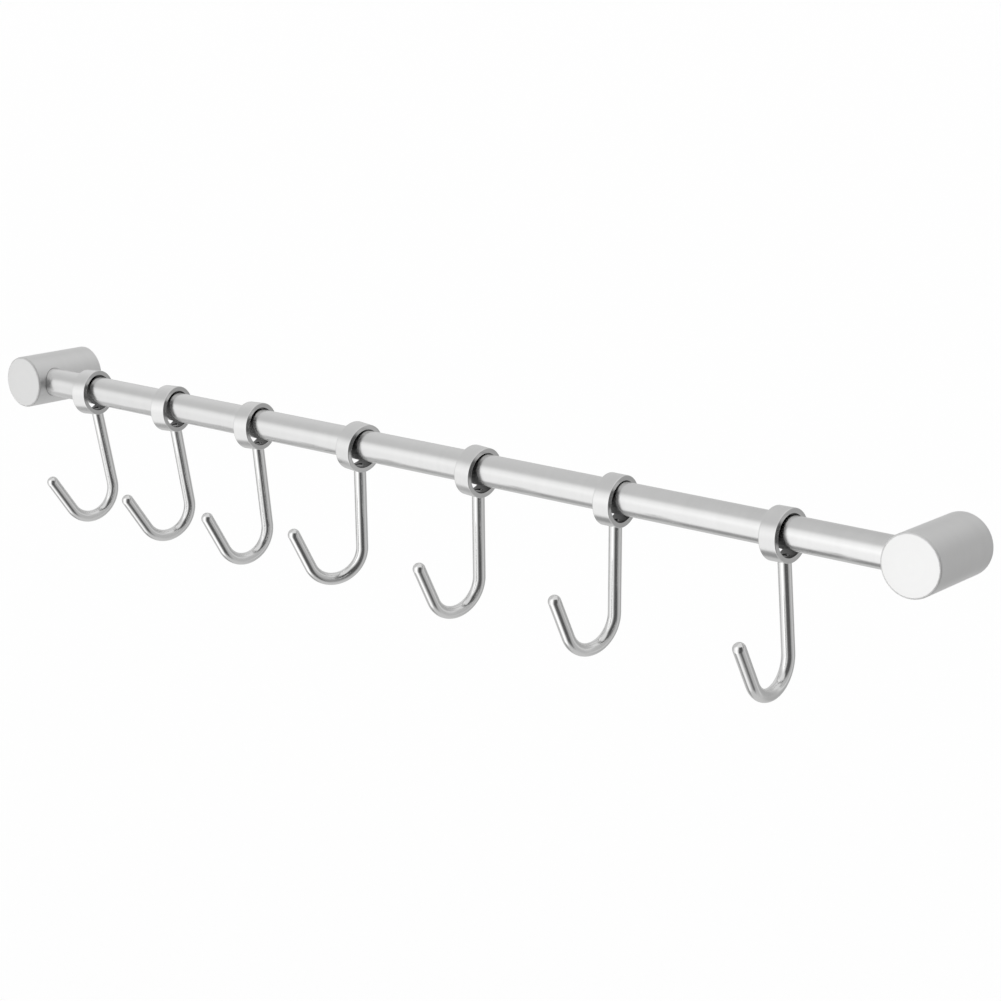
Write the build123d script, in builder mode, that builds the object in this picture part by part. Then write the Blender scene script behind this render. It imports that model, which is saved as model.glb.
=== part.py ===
"""Wall coat rack: a round rail held off the wall by two turned posts, with J hooks on loose rings.

Millimetres. The wall is the plane y = 0 and the rack stands out from it towards -Y. +X runs along the
rail to the right and +Z is up. The origin is on the wall, midway between the two post centres.
"""

import os
from math import atan, degrees, radians, sin, sqrt

from build123d import *

os.makedirs("parts", exist_ok=True)

# Posts
post_spacing = 438.0  # centre to centre, which is also the spacing of the wall screws
post_diameter = 22.0
post_length = 35.0
post_front_chamfer = 0.7
post_back_chamfer = 0.3

# Rail and the sockets that hold its ends
rail_diameter = 12.0
rail_wall = 1.2
rail_end_chamfer = 0.3
rail_front_cover = 3.5  # metal between the rail socket and the post's front face
rail_end_cover = 5.0  # metal between the socket's blind end and the post's outer side
rail_socket_clearance = 0.1
rail_end_clearance = 0.2

# Wall plates, each a turned disc that the back of a post slips over
plate_diameter = 16.0
plate_thickness = 7.0
plate_clearance = 0.1
plate_groove_depth = 1.3
plate_groove_margin = 0.4  # groove width past the set screw's diameter
plate_edge_chamfer = 0.3
screw_head_room = 4.0  # space in front of the plate for the wood screw's head
wall_screw_hole = 4.5
wall_screw_head = 9.0
wall_screw_head_angle = 90.0

# Socket set screws: one holds the post on its plate, the other clamps the rail
plate_screw_diameter = 4.0
plate_screw_hex = 2.0
plate_screw_inset = 0.4  # how far the screw's end lies inside the post's surface
rail_screw_diameter = 5.0
rail_screw_hex = 2.5
rail_screw_inset = 0.3
screw_end_chamfer = 0.5
screw_socket_depth = 2.0
thread_clearance = 0.03
bearing_gap = 0.02  # between a screw's point and what it presses on

# Rings that carry the hooks along the rail
ring_play = 3.0  # ring bore less rail diameter
ring_wall = 2.0
ring_width = 7.0
ring_edge_chamfer = 0.35
ring_rest_gap = 0.2  # left between the top of the bore and the rail it hangs on

# Hooks, bent from round wire and set into the rings
wire_diameter = 4.8
shank_length = 32.2  # from the ring to the start of the bend
bend_radius = 11.5  # to the wire's centre line
bend_angle = 156.5
tip_length = 16.1  # straight run after the bend, to the centre of the rounded end
spigot_diameter = 3.4
spigot_clearance = 0.02
spigot_short = 0.2  # how far the spigot's end stops short of the ring's bore
spot_face_margin = 0.25  # radius of the flat on the ring past the wire's own radius

# How each hanger hangs: its place as a share of the free rail from the left post, how far the foot of its
# shank leans towards the wall in degrees, how much of the ring's loose turn on the rail it has taken about
# the upright and along the rail, and how far its hook is turned about its own shank in degrees
hook_places = (0.0578, 0.1779, 0.2969, 0.4345, 0.5789, 0.7316, 0.8990)
hook_leans = (10.8, 11.0, 5.8, 5.5, 5.0, 1.8, 4.6)
ring_turns = (0.32, 0.33, 0.19, -0.12, -0.07, 0.05, -0.19)
ring_tilts = (-0.125, -0.08, -0.10, 0.17, 0.13, 0.02, -0.095)
hook_twists = (-15.1, -18.6, -12.8, -21.0, -9.2, -12.3, 3.2)

# Worked out from the sizes above
post_radius = post_diameter / 2
rail_radius = rail_diameter / 2
socket_radius = rail_radius + rail_socket_clearance
rail_y = -(post_length - rail_front_cover - socket_radius)
post_x = -post_spacing / 2
socket_end_x = post_x - post_radius + rail_end_cover
plate_recess_radius = plate_diameter / 2 + plate_clearance
plate_recess_depth = plate_thickness + screw_head_room
ring_bore_radius = (rail_diameter + ring_play) / 2
ring_radius = ring_bore_radius + ring_wall
wire_radius = wire_diameter / 2
spot_face_radius = wire_radius + spot_face_margin
spot_face_depth = ring_radius - sqrt(ring_radius**2 - spot_face_radius**2)
shoulder = ring_radius - spot_face_depth  # from the ring's axis to the flat that the wire seats on
free_rail = post_spacing - post_diameter
loose_turn = degrees(atan(ring_play / ring_width))


def save(piece, name):
    """Label a finished piece and write its file."""
    piece.part.label = name
    export_step(piece.part, f"parts/{name}.step")


def save_pair(piece, name):
    """Write a piece of the left post, and its mirror image for the right post."""
    save(piece, f"left_{name}")
    with BuildPart() as other:
        mirror(piece.part, about=Plane.YZ)
    save(other, f"right_{name}")


def set_screw(end, point, diameter, hex_size):
    """A socket set screw along the line from its open end to its point, with a chamfered rim at each."""
    length = (point - end).length
    with BuildPart() as screw:
        with BuildSketch(Plane(origin=end, z_dir=point - end)):
            Circle(diameter / 2 - thread_clearance)
        extrude(amount=length)
        chamfer(screw.edges().filter_by(GeomType.CIRCLE), screw_end_chamfer)
        with BuildSketch(Plane(origin=end, z_dir=point - end)):
            RegularPolygon(hex_size / 2, 6, major_radius=False)
        extrude(amount=screw_socket_depth, mode=Mode.SUBTRACT)
    return screw


# Post, turned from bar, with the rail's socket, the plate's recess and two tapped holes
plate_screw_y = -plate_thickness / 2
plate_screw_end = Vector(post_x, plate_screw_y, -post_radius + plate_screw_inset)
rail_screw_end = Vector(post_x, -plate_recess_depth - rail_screw_inset, 0)
with BuildPart() as post:
    with BuildSketch(Plane.XZ):
        with Locations((post_x, 0)):
            Circle(post_radius)
    extrude(amount=post_length)
    chamfer(post.edges().sort_by(Axis.Y)[0], post_front_chamfer)
    chamfer(post.edges().sort_by(Axis.Y)[-1], post_back_chamfer)
    with BuildSketch(Plane.YZ.offset(socket_end_x)):
        with Locations((rail_y, 0)):
            Circle(socket_radius)
    extrude(amount=post_diameter, mode=Mode.SUBTRACT)
    with Locations(Plane(origin=(post_x, 0, 0), z_dir=(0, 1, 0))):
        CounterBoreHole(
            radius=rail_screw_diameter / 2,
            counter_bore_radius=plate_recess_radius,
            counter_bore_depth=plate_recess_depth,
            depth=-rail_y,
        )
    with Locations(Plane(origin=(post_x, plate_screw_y, -post_radius), z_dir=(0, 0, -1))):
        Hole(radius=plate_screw_diameter / 2, depth=post_radius - plate_recess_radius / 2)
save_pair(post, "post")

# Wall plate, with a countersunk hole for the wood screw and a groove for the set screw
groove_radius = plate_diameter / 2 - plate_groove_depth
groove_width = plate_screw_diameter + plate_groove_margin
with BuildPart() as wall_plate:
    with BuildSketch(Plane.XZ):
        with Locations((post_x, 0)):
            Circle(plate_diameter / 2)
    extrude(amount=plate_thickness)
    chamfer(wall_plate.edges().filter_by(GeomType.CIRCLE), plate_edge_chamfer)
    with BuildSketch(Plane.XZ.offset((plate_thickness - groove_width) / 2)):
        with Locations((post_x, 0)):
            Circle(plate_diameter)
            Circle(groove_radius, mode=Mode.SUBTRACT)
    extrude(amount=groove_width, mode=Mode.SUBTRACT)
    with Locations(Plane(origin=(post_x, -plate_thickness, 0), z_dir=(0, -1, 0))):
        CounterSinkHole(
            radius=wall_screw_hole / 2,
            counter_sink_radius=wall_screw_head / 2,
            depth=plate_thickness,
            counter_sink_angle=wall_screw_head_angle,
        )
save_pair(wall_plate, "wall_plate")

# Set screw under the post, bearing on the floor of the plate's groove
plate_screw_point = Vector(post_x, plate_screw_y, -groove_radius - bearing_gap)
save_pair(set_screw(plate_screw_end, plate_screw_point, plate_screw_diameter, plate_screw_hex), "plate_screw")

# Set screw inside the post, bearing on the back of the rail
rail_screw_point = Vector(post_x, rail_y + rail_radius + bearing_gap, 0)
save_pair(set_screw(rail_screw_end, rail_screw_point, rail_screw_diameter, rail_screw_hex), "rail_screw")

# Rail, a plain tube from the blind end of one socket to the other
rail_start_x = socket_end_x + rail_end_clearance
with BuildPart() as rail:
    with BuildSketch(Plane.YZ.offset(rail_start_x)):
        with Locations((rail_y, 0)):
            Circle(rail_radius)
            Circle(rail_radius - rail_wall, mode=Mode.SUBTRACT)
    extrude(amount=-2 * rail_start_x)
    rims = rail.edges().filter_by(GeomType.CIRCLE)
    chamfer(rims.filter_by(lambda rim: rim.radius > rail_radius - rail_wall / 2), rail_end_chamfer)
save(rail, "rail")

# Rings and hooks: a ring turned or tilted on the rail rises until its bore's edges clear the rail again
hangings = zip(hook_places, hook_leans, ring_turns, ring_tilts, hook_twists)
for number, (place, lean, turn_share, tilt_share, twist) in enumerate(hangings, start=1):
    turn = turn_share * loose_turn
    tilt = tilt_share * loose_turn
    turn_rise = (ring_width * sin(radians(turn))) ** 2 / (4 * ring_play)
    tilt_rise = ring_width / 2 * sin(radians(abs(tilt)))
    ring_x = post_x + post_radius + place * free_rail
    ring_z = -ring_play / 2 + ring_rest_gap + turn_rise + tilt_rise
    turned = Location((ring_x, rail_y, ring_z), (0, 0, turn)) * Location((0, 0, 0), (0, tilt, 0))
    leaning = turned * Location((0, 0, 0), (lean, 0, 0))
    hang = Plane(leaning)
    bent = Plane(leaning * Location((0, 0, 0), (0, 0, twist)))
    section = Plane(hang.origin, hang.x_dir, -hang.y_dir)
    profile = Plane(bent.origin, -bent.y_dir, -bent.x_dir)

    with BuildPart() as ring:
        with BuildSketch(section) as wall:
            with Locations((0, ring_bore_radius + ring_wall / 2)):
                Rectangle(ring_width, ring_wall)
            chamfer(wall.vertices(), ring_edge_chamfer)
        revolve(axis=Axis(hang.origin, hang.x_dir))
        with Locations(Plane(hang.origin - hang.z_dir * ring_radius, hang.x_dir, -hang.z_dir)):
            CounterBoreHole(
                radius=spigot_diameter / 2,
                counter_bore_radius=spot_face_radius,
                counter_bore_depth=spot_face_depth,
                depth=ring_radius - ring_bore_radius / 2,
            )
    save(ring, f"ring_{number}")

    with BuildPart() as hook:
        with BuildLine(profile) as centre_line:
            Line((0, -shoulder), (0, -ring_radius - shank_length))
            bend = JernArc((0, -ring_radius - shank_length), (0, -1), bend_radius, bend_angle)
            Line(bend @ 1, bend @ 1 + tip_length * (bend % 1))
        with BuildSketch(Plane(hang.origin - hang.z_dir * shoulder, hang.x_dir, -hang.z_dir)):
            Circle(wire_radius)
        sweep(path=centre_line.line)
        with Locations(centre_line.line @ 1):
            Sphere(wire_radius)
        with BuildSketch(Plane(hang.origin - hang.z_dir * shoulder, hang.x_dir, hang.z_dir)):
            Circle(spigot_diameter / 2 - spigot_clearance)
        extrude(amount=shoulder - ring_bore_radius - spigot_short)
    save(hook, f"hook_{number}")
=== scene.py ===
"""Wall coat rack in satin stainless steel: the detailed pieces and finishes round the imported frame.

Metres. The wall is the plane y = 0, the rack stands out from it towards -Y, +X runs along the rail to
the right and +Z is up. Sizes that the frame gives are read from it, and the rest are in RackSizes.
"""

from contextlib import contextmanager
from math import atan2, cos, pi, radians, sin, sqrt

import bmesh
import bpy
from bpy.props import FloatProperty, FloatVectorProperty, PointerProperty
from mathutils import Matrix, Vector


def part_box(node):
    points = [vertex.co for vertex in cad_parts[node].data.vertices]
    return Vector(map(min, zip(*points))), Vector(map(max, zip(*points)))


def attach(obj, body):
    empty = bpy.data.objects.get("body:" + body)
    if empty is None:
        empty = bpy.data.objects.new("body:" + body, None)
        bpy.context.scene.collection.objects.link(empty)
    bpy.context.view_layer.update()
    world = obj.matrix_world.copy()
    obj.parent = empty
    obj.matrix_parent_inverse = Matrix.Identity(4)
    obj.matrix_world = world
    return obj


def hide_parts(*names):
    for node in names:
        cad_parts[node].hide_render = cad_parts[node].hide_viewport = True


bl_info = {
    "name": "Wall Coat Rack",
    "version": (1, 0, 0),
    "blender": (4, 5, 0),
    "location": "View3D > Sidebar > Coat Rack",
    "description": "Models and finishes a wall coat rack whose J hooks hang on loose rings",
    "category": "Object",
}

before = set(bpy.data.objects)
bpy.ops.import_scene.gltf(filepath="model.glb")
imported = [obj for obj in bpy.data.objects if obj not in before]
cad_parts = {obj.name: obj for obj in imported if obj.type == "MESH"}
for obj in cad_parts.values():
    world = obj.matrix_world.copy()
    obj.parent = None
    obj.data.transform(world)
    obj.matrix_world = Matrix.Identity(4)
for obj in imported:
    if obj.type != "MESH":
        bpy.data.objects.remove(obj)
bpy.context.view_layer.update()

mm = 0.001
sides = ("left", "right")
hangers = sorted(int(name.split("_")[1]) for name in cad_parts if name.startswith("ring_"))
merge_distance = 0.001 * mm
round_steps = 128
wire_steps = 48


def length(default, name, description):
    """A length that a user may change, given in millimetres and kept in metres."""
    return FloatProperty(
        name=name, description=description, default=default * mm, unit="LENGTH", precision=5
    )


class RackSizes(bpy.types.PropertyGroup):
    """Sizes of the detailed pieces that the frame's boxes don't give."""

    rail_wall: length(1.2, "Rail wall", "Thickness of the rail's tube")
    rail_end_chamfer: length(0.3, "Rail end chamfer", "Broken edge at each end of the rail")
    socket_clearance: length(0.1, "Socket clearance", "Radial gap between the rail and its socket")
    socket_end_gap: length(0.2, "Socket end gap", "Gap between the rail's end and its socket's bottom")
    post_front_edge: length(0.7, "Post front edge", "Broken edge round a post's front face")
    post_back_edge: length(0.3, "Post back edge", "Broken edge where a post meets the wall")
    plate_clearance: length(0.1, "Plate clearance", "Radial gap between a wall plate and its post")
    screw_head_room: length(4.0, "Screw head room", "Space in front of the wall plate")
    thread_clearance: length(0.03, "Thread clearance", "Radial gap between a set screw and its hole")
    plate_screw_pitch: length(0.7, "Plate screw pitch", "Thread pitch of the screws under the posts")
    plate_screw_hex: length(2.0, "Plate screw socket", "Across flats of the sockets under the posts")
    rail_screw_pitch: length(0.8, "Rail screw pitch", "Thread pitch of the screws behind the rail")
    rail_screw_hex: length(2.5, "Rail screw socket", "Across flats of the sockets behind the rail")
    screw_socket_depth: length(2.0, "Screw socket depth", "Depth of the hexagon sockets")
    screw_end_chamfer: length(0.5, "Screw end chamfer", "Chamfer at both ends of a set screw")
    ring_wall: length(2.0, "Ring wall", "Thickness of a ring")
    ring_width: length(7.0, "Ring width", "Length of a ring along the rail")
    ring_bore: length(15.0, "Ring bore", "Inner diameter of a ring")
    ring_edge: length(0.35, "Ring edge", "Rounding of a ring's rims")
    wire_diameter: length(4.8, "Wire diameter", "Diameter of a hook's wire")
    wire_end_chamfer: length(0.2, "Wire end chamfer", "Broken edge where the wire meets its ring")
    shank_length: length(32.2, "Shank length", "Wire from the ring to the start of the bend")
    bend_radius: length(11.5, "Bend radius", "Radius of the bend at the wire's centre line")
    bend_angle: FloatProperty(
        name="Bend angle", description="Turn of the bend", default=radians(156.5), subtype="ANGLE"
    )
    tip_length: length(16.1, "Tip length", "Straight wire from the bend to the centre of its end")
    spigot_diameter: length(3.36, "Spigot diameter", "Turned end of the wire inside the ring's wall")
    spigot_clearance: length(0.02, "Spigot clearance", "Radial gap round the spigot")
    spigot_short: length(0.2, "Spigot short", "How far the spigot stops short of the ring's bore")
    spot_face_margin: length(0.25, "Spot face margin", "Radius of the ring's flat past the wire's own")


def colour(default, name, description):
    """A linear colour that a user may change."""
    return FloatVectorProperty(
        name=name, description=description, default=default, subtype="COLOR", size=3, min=0, max=1
    )


def share(default, name, description):
    """A number from 0 to 1 that a user may change."""
    return FloatProperty(
        name=name, description=description, default=default, min=0, max=1, subtype="FACTOR"
    )


class RackFinish(bpy.types.PropertyGroup):
    """Colours and polish of the rack's metals and of the studio."""

    steel: colour((0.80, 0.80, 0.797), "Satin steel", "Ground and brushed stainless steel")
    wire: colour((0.82, 0.82, 0.817), "Wire steel", "Polished stainless wire")
    dark_steel: colour((0.46, 0.455, 0.45), "Screw steel", "Set screws and wall plates")
    rail_roughness: share(0.22, "Rail roughness", "Polish of the ground tube")
    left_post_roughness: share(0.50, "Left post roughness", "Polish of the left, duller post")
    right_post_roughness: share(0.36, "Right post roughness", "Polish of the right post")
    ring_roughness: share(0.20, "Ring roughness", "Polish of the turned rings")
    wire_roughness: share(0.17, "Wire roughness", "Polish of the bent wire")
    screw_roughness: share(0.34, "Screw roughness", "Polish of the screws and wall plates")
    floor: colour((0.98, 0.98, 0.98), "Floor", "Pale floor under the rack")


def deselect_all():
    """Leave nothing selected, since an operator acts on all that is."""
    bpy.ops.object.select_all(action="DESELECT")


def named(name):
    """Name the object that was just added, and its mesh."""
    piece = bpy.context.object
    piece.name = name
    piece.data.name = name
    return piece


def only(piece):
    """Select one object and make it the active one."""
    deselect_all()
    piece.select_set(True)
    bpy.context.view_layer.objects.active = piece


@contextmanager
def editing(piece, kind="FACE"):
    """Open a piece in edit mode with nothing selected, and close it again afterwards."""
    only(piece)
    bpy.ops.object.mode_set(mode="EDIT")
    bpy.ops.mesh.select_mode(type=kind)
    bpy.ops.mesh.select_all(action="DESELECT")
    yield
    bpy.ops.object.mode_set(mode="OBJECT")


def pick(piece, kind, test):
    """In edit mode, select the faces or edges whose middle passes a test."""
    mesh = bmesh.from_edit_mesh(piece.data)
    parts = getattr(mesh, kind)
    for part in parts:
        part.select_set(False)
    for part in parts:
        middle = sum((v.co for v in part.verts), Vector()) / len(part.verts)
        if test(middle):
            part.select_set(True)
    mesh.select_flush_mode()
    bmesh.update_edit_mesh(piece.data)


def extrude(step):
    """Draw the selected face or outline out along a vector."""
    bpy.ops.mesh.extrude_region_move(TRANSFORM_OT_translate={"value": step})


def shrink(factor, about):
    """Scale what is selected about a point."""
    bpy.ops.transform.resize(value=(factor, factor, factor), center_override=about)


def apply_place():
    """Put the active object's place, turn and size into its mesh."""
    bpy.ops.object.transform_apply(location=True, rotation=True, scale=True)


def modified(piece, kind, **settings):
    """Add a modifier with its settings and apply it."""
    only(piece)
    modifier = piece.modifiers.new(kind.title(), kind)
    for name, value in settings.items():
        setattr(modifier, name, value)
    bpy.ops.object.modifier_apply(modifier=modifier.name)


def boolean(piece, tool, operation="DIFFERENCE"):
    """Cut a piece with a tool, or keep what they share, and delete the tool."""
    modified(piece, "BOOLEAN", object=tool, operation=operation, solver="EXACT")
    bpy.data.objects.remove(tool)


def closed(piece):
    """Merge doubled points and turn every face outwards."""
    with editing(piece):
        bpy.ops.mesh.select_all(action="SELECT")
        bpy.ops.mesh.remove_doubles(threshold=merge_distance)
        bpy.ops.mesh.normals_make_consistent(inside=False)


def shaded(piece, angle=35):
    """Smooth a finished piece, sharp at its cut edges and even across its flats."""
    only(piece)
    bpy.ops.object.shade_smooth_by_angle(angle=radians(angle))
    modified(piece, "WEIGHTED_NORMAL", keep_sharp=True)


def rod(name, radius, start, end, steps=round_steps):
    """A solid round bar from one point to another."""
    run = Vector(end) - Vector(start)
    turn = run.to_track_quat("Z", "Y").to_euler()
    middle = (Vector(start) + Vector(end)) / 2
    bpy.ops.mesh.primitive_cylinder_add(
        vertices=steps, radius=radius, depth=run.length, location=middle, rotation=turn
    )
    bar = named(name)
    apply_place()
    return bar


def tube(name, width, inner, outer, steps=round_steps):
    """A tube along X about the origin, spun from the section of its wall."""
    wall_middle = (0, 0, (inner + outer) / 2)
    bpy.ops.mesh.primitive_plane_add(size=1, location=wall_middle, rotation=(pi / 2, 0, 0))
    ring = named(name)
    ring.scale = (width, outer - inner, 1)
    apply_place()
    with editing(ring, "EDGE"):
        bpy.ops.mesh.select_all(action="SELECT")
        bpy.ops.mesh.delete(type="ONLY_FACE")
        bpy.ops.mesh.select_all(action="SELECT")
        bpy.ops.mesh.spin(steps=steps, angle=2 * pi, center=(0, 0, 0), axis=(1, 0, 0))
    closed(ring)
    return ring


def rounded(piece, width, segments=4):
    """Round every edge of a piece that turns by more than a bend of its facets."""
    modified(
        piece, "BEVEL", width=width, segments=segments, limit_method="ANGLE", angle_limit=radians(50)
    )


def copied(piece, name, place):
    """A copy of a finished model with its own mesh, put in place through its mesh."""
    copy = piece.copy()
    copy.data = piece.data.copy()
    copy.name = name
    copy.data.name = name
    bpy.context.collection.objects.link(copy)
    only(copy)
    copy.matrix_world = place
    apply_place()
    return copy


def box_of(node):
    """A node's lowest and highest corners as vectors."""
    low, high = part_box(node)
    return Vector(low), Vector(high)


def facing(piece, test):
    """Area-weighted mean normal of the faces that pass a test on normal and middle."""
    normal = Vector()
    for face in piece.data.polygons:
        if test(face.normal, face.center):
            normal += face.normal * face.area
    return normal.normalized()


def hanger_place(number):
    """Where a hanger hangs: its ring's middle, with X along the ring's axis and -Z down the shank."""
    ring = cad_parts[f"ring_{number}"]
    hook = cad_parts[f"hook_{number}"]
    flat = 0.9  # least share of a face's normal along the way that it is taken to face
    top = box_of(f"hook_{number}")[1].z
    seat = top - 3 * mm
    along = facing(ring, lambda normal, middle: normal.x > flat)
    up = facing(hook, lambda normal, middle: normal.z > flat and middle.z > seat)
    up = (up - along * up.dot(along)).normalized()
    low, high = box_of(f"ring_{number}")
    turn = Matrix((along, up.cross(along), up)).transposed().to_4x4()
    return Matrix.Translation((low + high) / 2) @ turn


def hook_place(number):
    """Where a hook hangs: its hanger's place, turned about the shank until -Y points to the tip."""
    place = hanger_place(number)
    away = place.inverted()
    points = [away @ vertex.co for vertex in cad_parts[f"hook_{number}"].data.vertices]
    out = sum(points, Vector()) / len(points)
    return place @ Matrix.Rotation(atan2(out.x, -out.y), 4, "Z")


class Signal:
    """A socket's number in a shader tree. Sums written on it add Math nodes."""

    def __init__(self, shader, socket):
        self.shader = shader
        self.socket = socket

    def output(self, name):
        """Another output of the same node."""
        return Signal(self.shader, self.socket.node.outputs[name])

    def math(self, operation, *values):
        return self.shader.node("ShaderNodeMath", {"operation": operation}, dict(enumerate(values)))

    def __add__(self, other):
        return self.math("ADD", self, other)

    def __radd__(self, other):
        return self.math("ADD", other, self)

    def __sub__(self, other):
        return self.math("SUBTRACT", self, other)

    def __rsub__(self, other):
        return self.math("SUBTRACT", other, self)

    def __mul__(self, other):
        return self.math("MULTIPLY", self, other)

    def __rmul__(self, other):
        return self.math("MULTIPLY", other, self)

    def __neg__(self):
        return self.math("MULTIPLY", self, -1)

    def root(self):
        return self.math("SQRT", self)

    def size(self):
        return self.math("ABSOLUTE", self)

    def least(self, other):
        return self.math("MINIMUM", self, other)

    def angle(self, across):
        """Angle in degrees whose tangent is this number over another."""
        turn = self.math("ARCTAN2", self, across)
        return turn.math("DEGREES", turn)

    def rise(self, low, high):
        """0 below low, 1 above high and a smooth step between."""
        settings = {"interpolation_type": "SMOOTHSTEP"}
        sockets = {"Value": self, "From Min": low, "From Max": high}
        return self.shader.node("ShaderNodeMapRange", settings, sockets)

    def within(self, low, high, soft):
        """1 between two values and 0 outside them, with soft edges."""
        return self.rise(low - soft, low + soft) * (1 - self.rise(high - soft, high + soft))

    def covered(self, other, share):
        """This number where the share is 0, and another where it is 1."""
        return self + (other - self) * share


class Shader:
    """A node tree being built, for a material or for the world."""

    def __init__(self, owner):
        owner.use_nodes = True
        self.tree = owner.node_tree
        self.tree.nodes.clear()

    def node(self, kind, settings=None, sockets=None, output=0):
        """Add a node, set it up, fill or link its sockets and give one of its outputs."""
        made = self.tree.nodes.new(kind)
        for name, value in (settings or {}).items():
            setattr(made, name, value)
        for name, value in (sockets or {}).items():
            if isinstance(value, Signal):
                self.tree.links.new(value.socket, made.inputs[name])
            else:
                made.inputs[name].default_value = value
        return Signal(self, made.outputs[output] if made.outputs else None)

    def parts(self, vector):
        """The three numbers of a vector."""
        split = self.node("ShaderNodeSeparateXYZ", None, {"Vector": vector})
        return split, split.output("Y"), split.output("Z")

    def vector(self, x, y, z):
        return self.node("ShaderNodeCombineXYZ", None, {"X": x, "Y": y, "Z": z})

    def noise(self, place, scale, detail=2.0, roughness=0.5):
        """Smooth noise about 0.5, one cloud to 1/scale metres."""
        sockets = {"Vector": place, "Scale": scale, "Detail": detail, "Roughness": roughness}
        return self.node("ShaderNodeTexNoise", None, sockets)

    def tinted(self, colour, amount):
        """A colour made lighter or darker by a number about 0."""
        light = self.vector(1 + amount, 1 + amount, 1 + amount)
        settings = {"operation": "MULTIPLY"}
        return self.node("ShaderNodeVectorMath", settings, {0: tuple(colour), 1: light})

    def bump(self, height, depth):
        """A normal for fine relief of a given depth in metres."""
        return self.node("ShaderNodeBump", None, {"Height": height, "Distance": depth, "Strength": 1.0})

    def metal(self, colour, roughness, normal):
        """The steel surface itself."""
        sockets = {"Base Color": colour, "Roughness": roughness, "Normal": normal, "Metallic": 1.0}
        surface = self.node("ShaderNodeBsdfPrincipled", None, sockets)
        self.node("ShaderNodeOutputMaterial", None, {"Surface": surface})


def turned_steel(name, place, colour, roughness, bore=0.0, ends=0.0, rim=None):
    """Steel with the fine lines that turning leaves round a piece's own axis, its X.

    Inside the bore's radius it is painted dark, as painted shade in the ring's bore. Past the ends'
    distance along the axis it is painted a shade darker, as painted shade on the end faces. From a rim's
    radius out and up to its height along the axis it is dull, as filed.
    """
    line_spacing, line_depth = 0.11 * mm, 0.0012 * mm
    drift_scale, band_scale, cloud_scale = 90, 420, 160
    edge = 0.05 * mm
    steel = bpy.data.materials.new(name)
    shader = Shader(steel)
    here = shader.node("ShaderNodeTexCoord", output="Object")
    settings = {"vector_type": "TEXTURE"}
    sockets = {"Vector": here, "Location": place.translation, "Rotation": place.to_euler()}
    along, across, up = shader.parts(shader.node("ShaderNodeMapping", settings, sockets))
    out = (across * across + up * up).root()
    drift = shader.noise(here, drift_scale, 1.0)
    lie = shader.vector(along + drift * line_spacing, out, 0.0)
    lines = shader.noise(lie, 1 / line_spacing, 3.0, 0.6)
    bands = shader.noise(shader.vector(along, out, 0.0), band_scale, 2.0)
    clouds = shader.noise(here, cloud_scale, 3.0)
    tint = (lines - 0.5) * 0.05 + (bands - 0.5) * 0.05 + (clouds - 0.5) * 0.03
    rough = roughness + (lines - 0.5) * 0.10 + (clouds - 0.5) * 0.08
    if bore:
        # Painted shade: inside the bore the steel is painted dark, where shade falls in the ring.
        bore_painted_shade = 1 - out.rise(bore + edge, bore + 5 * edge)
        tint = tint - bore_painted_shade * 0.8
        rough = rough + bore_painted_shade * 0.15
    if ends:
        # Painted shade: past the ends' distance the ring's end faces are painted a shade darker.
        end_face_painted_shade = along.size().rise(ends - 0.06 * mm, ends - 0.02 * mm)
        tint = tint - 0.20 * end_face_painted_shade
    if rim:
        radius, height = rim
        filed = out.rise(radius - edge, radius + edge) * (1 - along.rise(height - edge, height + edge))
        rough = rough + filed * 0.35
    shader.metal(shader.tinted(colour, tint), rough, shader.bump(lines, line_depth))
    return steel


def drawn_wire(name, colour, roughness, seat):
    """Polished wire with faint draw lines along it, read from the wire's own attribute.

    More than the seat's millimetres above the bend, where it is turned to fit its ring, it is painted
    dark: painted shade inside the ring's bore.
    """
    line_depth = 0.0012 * mm
    steel = bpy.data.materials.new(name)
    shader = Shader(steel)
    lie = shader.node("ShaderNodeAttribute", {"attribute_name": "wire_lie"}, output="Vector")
    across, up, along = shader.parts(lie)
    lines = shader.noise(shader.vector(across * 9, up * 9, along * 0.4), 1.0, 3.0, 0.6)
    clouds = shader.noise(shader.vector(across * 0.6, up * 0.6, along), 0.5, 2.0)
    # Painted shade: the spigot inside the ring is painted dark, as the shade in the bore.
    turned = (-along).rise(seat, seat + 0.3)
    tint = (lines - 0.5) * 0.06 + (clouds - 0.5) * 0.04 - 0.75 * turned
    rough = roughness + (lines - 0.5) * 0.05 + (clouds - 0.5) * 0.07
    shader.metal(shader.tinted(colour, tint), rough, shader.bump(lines, line_depth))
    return steel


def dressed(piece, material, node, body):
    """Give a finished piece its material, hide the frame's node that it stands for and hang it on the
    body it rides on.
    """
    piece.data.materials.clear()
    piece.data.materials.append(material)
    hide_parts(node)
    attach(piece, body)


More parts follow.
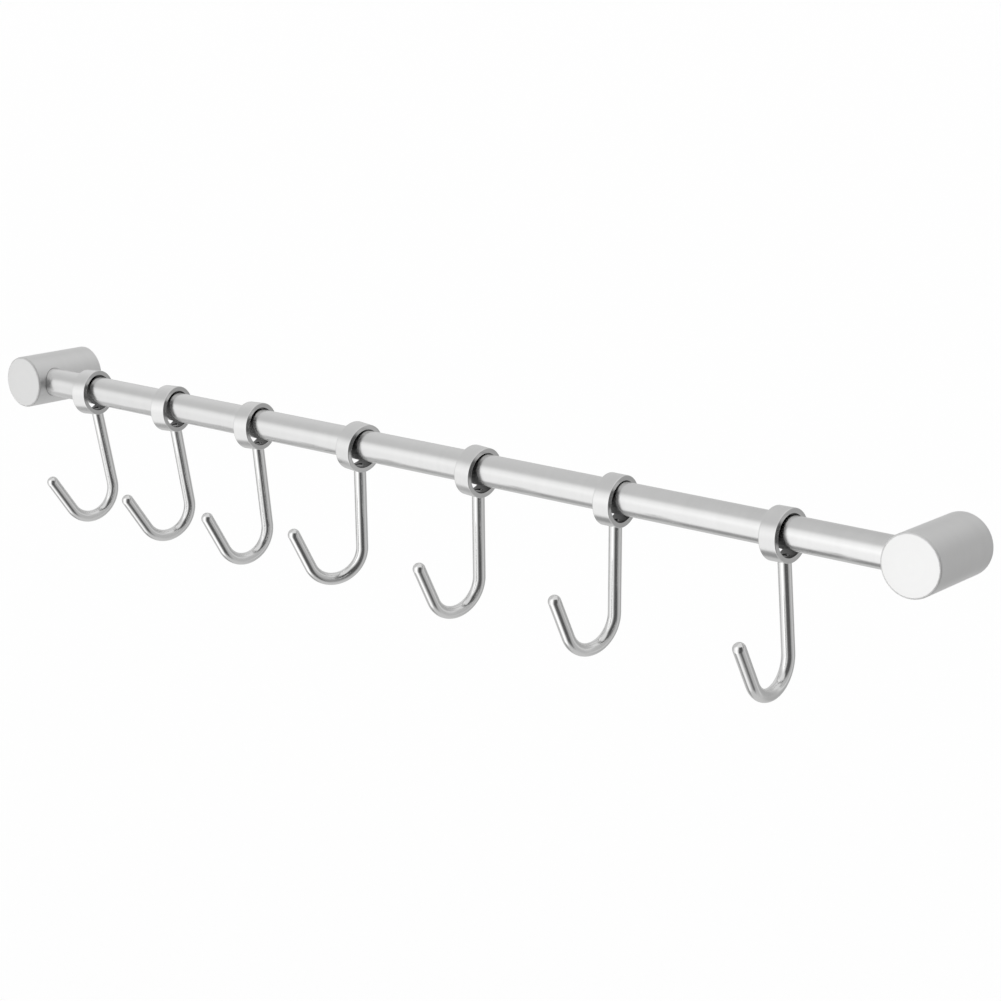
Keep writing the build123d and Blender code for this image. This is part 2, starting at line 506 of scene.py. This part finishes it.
def set_screw(name, radius, height, pitch, hex_size, sizes):
    """A threaded socket set screw standing on its point at the origin, its open end up."""
    depth = 0.61 * pitch
    crest, flank, root = pitch / 8, 0.3125 * pitch, pitch / 4
    past_crests = 1.001
    bpy.ops.mesh.primitive_plane_add(size=pitch, location=(radius, 0, 0))
    screw = named(name)
    apply_place()
    with editing(screw, "VERT"):
        bpy.ops.mesh.select_all(action="SELECT")
        bpy.ops.mesh.merge(type="CENTER")
        bpy.ops.transform.translate(value=(0, 0, -pitch))
        for outwards, upwards in ((0, crest), (-depth, flank), (0, root), (depth, flank)):
            extrude((outwards, 0, upwards))
    turns = int(height / pitch) + 3
    fineness = {"steps": wire_steps, "render_steps": wire_steps}
    modified(screw, "SCREW", axis="Z", screw_offset=pitch, iterations=turns, **fineness)
    closed(screw)
    for cut, direction in ((0, -1), (height, 1)):
        with editing(screw):
            bpy.ops.mesh.select_all(action="SELECT")
            bpy.ops.mesh.bisect(
                plane_co=(0, 0, cut), plane_no=(0, 0, direction), use_fill=True, clear_outer=True
            )
    closed(screw)
    blank = rod("blank", radius * past_crests, (0, 0, 0), (0, 0, height), wire_steps)
    modified(blank, "BEVEL", width=sizes.screw_end_chamfer, segments=1, limit_method="ANGLE")
    boolean(screw, blank, "INTERSECT")
    floor = height - sizes.screw_socket_depth
    corner = hex_size / 2 / cos(pi / 6)
    boolean(screw, rod("hexagon", corner, (0, 0, floor), (0, 0, height + pitch), 6))
    closed(screw)
    return screw


class RACK_OT_rail(bpy.types.Operator):
    """Spin the rail's tube and give it its ground finish"""

    bl_idname = "coat_rack.rail"
    bl_label = "Rail"

    def execute(self, context):
        sizes, finish = context.scene.rack_sizes, context.scene.rack_finish
        low, high = box_of("rail")
        radius = (high.z - low.z) / 2
        deselect_all()
        model = tube("rail_model", high.x - low.x, radius - sizes.rail_wall, radius)
        rounded(model, sizes.rail_end_chamfer, 2)
        place = Matrix.Translation((low + high) / 2)
        rail = copied(model, "rail_tube", place)
        bpy.data.objects.remove(model)
        shaded(rail)
        material = turned_steel("ground_rail", place, finish.steel, finish.rail_roughness)
        dressed(rail, material, "rail", "rack")
        return {"FINISHED"}


class RACK_OT_posts(bpy.types.Operator):
    """Turn the two posts, with the rail's socket, the plate's recess and the tapped holes"""

    bl_idname = "coat_rack.posts"
    bl_label = "Posts"

    def execute(self, context):
        sizes, finish = context.scene.rack_sizes, context.scene.rack_finish
        low, high = box_of("left_post")
        rail_low, rail_high = box_of("rail")
        plate_low, plate_high = box_of("left_wall_plate")
        plate_screw_low, plate_screw_high = box_of("left_plate_screw")
        rail_screw_low, rail_screw_high = box_of("left_rail_screw")
        radius = (high.x - low.x) / 2
        middle = (low.x + high.x) / 2
        deselect_all()
        post = rod("left_post_turned", radius, (middle, high.y, 0), (middle, low.y, 0))
        for end, edge in ((low.y, sizes.post_front_edge), (high.y, sizes.post_back_edge)):
            with editing(post, "EDGE"):
                pick(post, "edges", lambda place: abs(place.y - end) < merge_distance)
                bpy.ops.mesh.bevel(offset=edge, segments=3, affect="EDGES")
        socket_radius = (rail_high.z - rail_low.z) / 2 + sizes.socket_clearance
        rail_y = (rail_low.y + rail_high.y) / 2
        socket_end = (rail_low.x - sizes.socket_end_gap, rail_y, 0)
        boolean(post, rod("socket", socket_radius, socket_end, (high.x + radius, rail_y, 0)))
        recess_radius = (plate_high.x - plate_low.x) / 2 + sizes.plate_clearance
        recess_end = plate_low.y - sizes.screw_head_room
        boolean(post, rod("recess", recess_radius, (middle, recess_end, 0), (middle, radius, 0)))
        tapped = (rail_screw_high.x - rail_screw_low.x) / 2 + sizes.thread_clearance
        boolean(post, rod("rail_screw_hole", tapped, (middle, rail_y, 0), (middle, 0, 0), wire_steps))
        tapped = (plate_screw_high.x - plate_screw_low.x) / 2 + sizes.thread_clearance
        screw_y = (plate_screw_low.y + plate_screw_high.y) / 2
        inner_end, mouth = (middle, screw_y, -recess_radius / 2), (middle, screw_y, -2 * radius)
        boolean(post, rod("plate_screw_hole", tapped, inner_end, mouth, wire_steps))
        closed(post)
        other = copied(post, "right_post_turned", Matrix.Scale(-1, 4, (1, 0, 0)))
        closed(other)
        rim = (radius - sizes.post_front_edge, (low.y - high.y) / 2 + sizes.post_front_edge)
        polishes = (finish.left_post_roughness, finish.right_post_roughness)
        for side, piece, polish in zip(sides, (post, other), polishes):
            shaded(piece)
            box_low, box_high = box_of(f"{side}_post")
            place = Matrix.Translation((box_low + box_high) / 2) @ Matrix.Rotation(pi / 2, 4, "Z")
            material = turned_steel(f"turned_{side}_post", place, finish.steel, polish, rim=rim)
            dressed(piece, material, f"{side}_post", "rack")
        return {"FINISHED"}


class RACK_OT_rings(bpy.types.Operator):
    """Spin a ring, seat the wire in it and hang a copy at each hanger"""

    bl_idname = "coat_rack.rings"
    bl_label = "Rings"

    def execute(self, context):
        sizes, finish = context.scene.rack_sizes, context.scene.rack_finish
        bore = sizes.ring_bore / 2
        outside = bore + sizes.ring_wall
        seat_radius = sizes.wire_diameter / 2 + sizes.spot_face_margin
        seat = sqrt(outside**2 - seat_radius**2)
        hole = sizes.spigot_diameter / 2 + sizes.spigot_clearance
        deselect_all()
        model = tube("ring_model", sizes.ring_width, bore, outside)
        rounded(model, sizes.ring_edge)
        boolean(model, rod("spot_face", seat_radius, (0, 0, -seat), (0, 0, -2 * outside), wire_steps))
        boolean(model, rod("spigot_hole", hole, (0, 0, -bore / 2), (0, 0, -2 * outside), wire_steps))
        closed(model)
        for number in hangers:
            place = hanger_place(number)
            ring = copied(model, f"ring_{number}_turned", place)
            shaded(ring)
            # The bore and ends set where painted shade falls: dark inside the bore and a shade darker on
            # the end faces.
            extents = {"bore": bore, "ends": sizes.ring_width / 2}
            material = turned_steel(
                f"turned_ring_{number}", place, finish.steel, finish.ring_roughness, **extents
            )
            dressed(ring, material, f"ring_{number}", f"hanger_{number}")
        bpy.data.objects.remove(model)
        return {"FINISHED"}


def lie_along(hook, sizes, bend_z):
    """Store each point's direction round the wire and its distance along it, in millimetres."""
    centre = Vector((0, -sizes.bend_radius, bend_z))
    tip_start = sizes.bend_angle * sizes.bend_radius
    heading = Vector((0, -sin(sizes.bend_angle), -cos(sizes.bend_angle)))
    inward = Vector((0, -cos(sizes.bend_angle), sin(sizes.bend_angle)))
    bend_end = centre - inward * sizes.bend_radius
    store = hook.data.attributes.new("wire_lie", "FLOAT_VECTOR", "POINT")
    for number, vertex in enumerate(hook.data.vertices):
        spot = vertex.co
        turned = atan2(-(spot.z - centre.z), spot.y - centre.y)
        past = (spot - bend_end).dot(heading)
        if spot.z >= bend_z and spot.y > centre.y:
            along, across = bend_z - spot.z, spot.y
        elif past > 0 and spot.y < centre.y:
            along, across = tip_start + past, -(spot - bend_end).dot(inward)
        else:
            along = turned * sizes.bend_radius
            across = (spot - centre).length_squared - spot.x**2
            across = sqrt(max(across, 0)) - sizes.bend_radius
        around = Vector((spot.x, across)).normalized()
        store.data[number].vector = (around.x, around.y, along / mm)


class RACK_OT_hooks(bpy.types.Operator):
    """Bend a J hook from wire, round its tip, turn its spigot and hang a copy at each ring"""

    bl_idname = "coat_rack.hooks"
    bl_label = "Hooks"

    def execute(self, context):
        sizes, finish = context.scene.rack_sizes, context.scene.rack_finish
        radius = sizes.wire_diameter / 2
        bore = sizes.ring_bore / 2
        outside = bore + sizes.ring_wall
        shoulder = -sqrt(outside**2 - (radius + sizes.spot_face_margin) ** 2)
        bend_z = -outside - sizes.shank_length
        top = -bore - sizes.spigot_short
        bend_steps, tip_steps, dome_steps = 44, 6, 10
        deselect_all()
        bpy.ops.mesh.primitive_circle_add(
            vertices=wire_steps, radius=radius, fill_type="NGON", location=(0, 0, bend_z)
        )
        hook = named("hook_model")
        apply_place()
        centre = (0, -sizes.bend_radius, bend_z)
        heading = Vector((0, -sin(sizes.bend_angle), -cos(sizes.bend_angle)))
        outwards = Vector((0, cos(sizes.bend_angle), -sin(sizes.bend_angle)))
        spot = Vector(centre) + outwards * sizes.bend_radius
        with editing(hook):
            bpy.ops.mesh.select_all(action="SELECT")
            bpy.ops.mesh.spin(steps=bend_steps, angle=sizes.bend_angle, center=centre, axis=(1, 0, 0))
            for _ in range(tip_steps):
                extrude(heading * sizes.tip_length / tip_steps)
            spot += heading * sizes.tip_length
            reach, size = 0.0, 1.0
            for step in range(1, dome_steps):
                turn = pi / 2 * step / dome_steps
                extrude(heading * radius * (sin(turn) - reach))
                reach = sin(turn)
                shrink(cos(turn) / size, spot + heading * radius * reach)
                size = cos(turn)
            extrude(heading * radius * (1 - reach))
            bpy.ops.mesh.merge(type="CENTER")
            pick(hook, "faces", lambda place: (place - Vector((0, 0, bend_z))).length < merge_distance)
            shank = shoulder - sizes.wire_end_chamfer - bend_z
            for _ in range(tip_steps):
                extrude((0, 0, shank / tip_steps))
            extrude((0, 0, sizes.wire_end_chamfer))
            shrink(1 - sizes.wire_end_chamfer / radius, (0, 0, shoulder))
            extrude((0, 0, 0))
            shrink(sizes.spigot_diameter / 2 / (radius - sizes.wire_end_chamfer), (0, 0, shoulder))
            extrude((0, 0, top - shoulder - sizes.wire_end_chamfer))
            extrude((0, 0, sizes.wire_end_chamfer))
            shrink(1 - sizes.wire_end_chamfer / (sizes.spigot_diameter / 2), (0, 0, top))
        closed(hook)
        lie_along(hook, sizes, bend_z)
        seat = (sizes.shank_length + sizes.ring_wall / 2) / mm
        material = drawn_wire("polished_wire", finish.wire, finish.wire_roughness, seat)
        for number in hangers:
            copy = copied(hook, f"hook_{number}_wire", hook_place(number))
            shaded(copy)
            dressed(copy, material, f"hook_{number}", f"hanger_{number}")
        bpy.data.objects.remove(hook)
        return {"FINISHED"}


class RACK_OT_fixings(bpy.types.Operator):
    """Cut the threads and sockets of the set screws, and finish the wall plates"""

    bl_idname = "coat_rack.fixings"
    bl_label = "Set Screws and Wall Plates"

    def execute(self, context):
        sizes, finish = context.scene.rack_sizes, context.scene.rack_finish
        deselect_all()
        low, high = box_of("left_plate_screw")
        radius = (high.x - low.x) / 2
        size = high.z - low.z
        plate_screw = set_screw(
            "plate_screw_model", radius, size, sizes.plate_screw_pitch, sizes.plate_screw_hex, sizes
        )
        low, high = box_of("left_rail_screw")
        radius = (high.x - low.x) / 2
        size = high.y - low.y
        rail_screw = set_screw(
            "rail_screw_model", radius, size, sizes.rail_screw_pitch, sizes.rail_screw_hex, sizes
        )
        for side in sides:
            low, high = box_of(f"{side}_plate_screw")
            middle = (low + high) / 2
            place = Matrix.Translation((middle.x, middle.y, high.z)) @ Matrix.Rotation(pi, 4, "X")
            self.fitted(plate_screw, f"{side}_plate_screw", place, finish)
            low, high = box_of(f"{side}_rail_screw")
            middle = (low + high) / 2
            place = Matrix.Translation((middle.x, low.y, middle.z)) @ Matrix.Rotation(-pi / 2, 4, "X")
            self.fitted(rail_screw, f"{side}_rail_screw", place, finish)
            low, high = box_of(f"{side}_wall_plate")
            place = Matrix.Translation((low + high) / 2) @ Matrix.Rotation(pi / 2, 4, "Z")
            polish = finish.screw_roughness
            material = turned_steel(f"turned_{side}_plate", place, finish.dark_steel, polish)
            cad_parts[f"{side}_wall_plate"].material_slots[0].material = material
        bpy.data.objects.remove(plate_screw)
        bpy.data.objects.remove(rail_screw)
        return {"FINISHED"}

    def fitted(self, model, node, place, finish):
        """Put a copy of a screw where its node is."""
        screw = copied(model, f"{node}_threaded", place)
        shaded(screw)
        axis = place @ Matrix.Rotation(pi / 2, 4, "Y")
        material = turned_steel(f"{node}_steel", axis, finish.dark_steel, finish.screw_roughness)
        dressed(screw, material, node, "rack")


def studio_tone(direction):
    """Brightness of the studio's cards by direction, where the background is 1.

    Pitch turns about the rail, from 0 level in front to 90 overhead and 180 at the wall. Heading turns
    about the upright, from 0 at the right to 90 at the wall. Each card hangs over those before it.
    """
    x, y, z = direction.shader.parts(direction)
    pitch = z.angle(-y)
    heading = y.angle(x)
    near_end = x.rise(-0.80, -0.40)  # 0 for what the rail's left end mirrors, 1 for its right end

    # Grey walls, lighter overhead
    overhead = pitch.rise(60, 130) * (1 - pitch.rise(150, 180))
    ceiling = 0.20 * x.rise(-0.42, -0.25) * z.rise(0.5, 0.75)
    tone = 0.63 + (0.14 - 0.20 * near_end) * overhead + ceiling

    # Darker card at the right, which the rings' ends and the bends mirror, and a lighter one in it
    side = heading.within(-10, 95, 9) * z.within(-0.75, 0.35, 0.2)
    tone = tone.covered(0.52 - 0.07 * heading.rise(42, 60), side)
    tone = tone + 0.26 * heading.within(34, 42, 4) * z.within(-0.6, 0.6, 0.3)

    # Dark gap below the soft box, which draws the line along the rail's underside
    gap = pitch.within(-104, -70, 7) * (1 - x.rise(-0.44, -0.30))
    tone = tone - (0.02 + 0.38 * near_end) * gap

    # Wide soft box in front, with a lamp along its middle, a bright right part and a dim left edge
    top = 35 + 8 * near_end
    box = pitch.rise(-78, -62) * (1 - (pitch - top).rise(-16, 16)) * (1 - x.rise(-0.1, 0.35))
    lamp = pitch.within(-8, 16, 14)
    bright = x.rise(-0.45, -0.33) * (1 - 0.4 * x.rise(-0.25, -0.10))
    dim = 1 - x.rise(-0.90, -0.76)
    glow = 0.95 + 0.06 * x.rise(-0.76, -0.60) + 0.40 * bright + (0.05 + 0.11 * near_end) * lamp
    tone = tone.covered(glow - 0.32 * dim, box)

    # Black card at the camera's right, which draws the dark stripe down each wire
    black = heading.within(-64, 0, 14) * z.within(-0.85, 0.7, 0.1)
    return tone.covered(0.10, black)


class RACK_OT_stage(bpy.types.Operator):
    """Lay the pale floor, light the studio and set the camera where the picture was taken"""

    bl_idname = "coat_rack.stage"
    bl_label = "Stage"

    def execute(self, context):
        finish = context.scene.rack_finish
        self.lay_floor(finish)
        self.light_world()
        self.hang_cards()
        self.set_camera(context.scene)
        context.scene.view_settings.view_transform = "Standard"
        return {"FINISHED"}

    def lay_floor(self, finish):
        """A wide pale floor below the rack. It is white to the camera and keeps the rack's shadow."""
        floor_size, floor_drop = 60, 0.35
        deselect_all()
        bpy.ops.mesh.primitive_plane_add(size=floor_size, location=(0, 0, -floor_drop))
        floor = named("floor")
        floor.visible_glossy = False
        paint = bpy.data.materials.new("pale_floor")
        shader = Shader(paint)
        light = shader.node("ShaderNodeLightPath", output="Is Camera Ray")
        seen = light + light.output("Is Glossy Ray") + light.output("Is Transmission Ray")
        sockets = {"Color": (*finish.floor, 1), "Roughness": 0.5}
        matt = shader.node("ShaderNodeBsdfDiffuse", None, sockets)
        white = shader.node("ShaderNodeEmission", None, {"Color": (1, 1, 1, 1), "Strength": 1.0})
        kept_shadow = 0.3
        whitened = seen.least(1) * (1 - kept_shadow)
        mixed = shader.node("ShaderNodeMixShader", None, {0: whitened, 1: matt, 2: white})
        shader.node("ShaderNodeOutputMaterial", None, {"Surface": mixed})
        floor.data.materials.append(paint)

    def light_world(self):
        """A plain white world all round, which is also the background."""
        world = bpy.data.worlds.new("studio")
        world.cycles.sampling_method = "NONE"
        bpy.context.scene.world = world
        shader = Shader(world)
        white = shader.node("ShaderNodeBackground", None, {"Color": (1, 1, 1, 1), "Strength": 1.0})
        shader.node("ShaderNodeOutputWorld", None, {"Surface": white})

    def hang_cards(self):
        """A dome of white, grey and black cards, far off and seen only in the rack's steel."""
        far_off = 9
        deselect_all()
        bpy.ops.mesh.primitive_uv_sphere_add(segments=64, ring_count=32, radius=far_off)
        cards = named("studio_cards")
        for way in ("camera", "diffuse", "transmission", "shadow"):
            setattr(cards, f"visible_{way}", False)
        paint = bpy.data.materials.new("card_tones")
        paint.cycles.emission_sampling = "NONE"
        shader = Shader(paint)
        here = shader.node("ShaderNodeTexCoord", output="Object")
        tone = studio_tone(shader.node("ShaderNodeVectorMath", {"operation": "NORMALIZE"}, {0: here}))
        glow = shader.node("ShaderNodeEmission", None, {"Color": (1, 1, 1, 1), "Strength": tone})
        shader.node("ShaderNodeOutputMaterial", None, {"Surface": glow})
        cards.data.materials.append(paint)

    def set_camera(self, scene):
        """The camera stands to the right of the rack and a little above it."""
        place = Matrix.Translation((0.5418, -0.6338, 0.1922))
        heading, tilt, roll = 0.686, -0.2522, 0.0098
        data = bpy.data.cameras.new("camera")
        data.sensor_width = 36
        data.lens = 79.15
        camera = bpy.data.objects.new("camera", data)
        scene.collection.objects.link(camera)
        aim = Matrix.Rotation(heading, 4, "Z") @ Matrix.Rotation(pi / 2 + tilt, 4, "X")
        camera.matrix_world = place @ aim @ Matrix.Rotation(roll, 4, "Z")
        scene.camera = camera


class RACK_PT_panel(bpy.types.Panel):
    """Lists the rack's pieces and its sizes"""

    bl_idname = "RACK_PT_panel"
    bl_label = "Coat Rack"
    bl_space_type = "VIEW_3D"
    bl_region_type = "UI"
    bl_category = "Coat Rack"

    def draw(self, context):
        column = self.layout.column(align=True)
        for operator in operators:
            column.operator(operator.bl_idname)
        for group in (context.scene.rack_sizes, context.scene.rack_finish):
            column = self.layout.column(align=True)
            for name in group.bl_rna.properties.keys():
                if name not in ("rna_type", "name"):
                    column.prop(group, name)


operators = (RACK_OT_rail, RACK_OT_posts, RACK_OT_rings, RACK_OT_hooks, RACK_OT_fixings, RACK_OT_stage)
classes = (RackSizes, RackFinish, *operators, RACK_PT_panel)


def register():
    for kind in classes:
        bpy.utils.register_class(kind)
    bpy.types.Scene.rack_sizes = PointerProperty(type=RackSizes)
    bpy.types.Scene.rack_finish = PointerProperty(type=RackFinish)


def unregister():
    del bpy.types.Scene.rack_finish
    del bpy.types.Scene.rack_sizes
    for kind in reversed(classes):
        bpy.utils.unregister_class(kind)


def main():
    """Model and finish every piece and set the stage."""
    register()
    bpy.ops.coat_rack.rail()
    bpy.ops.coat_rack.posts()
    bpy.ops.coat_rack.rings()
    bpy.ops.coat_rack.hooks()
    bpy.ops.coat_rack.fixings()
    bpy.ops.coat_rack.stage()


if __name__ == "__main__":
    main()
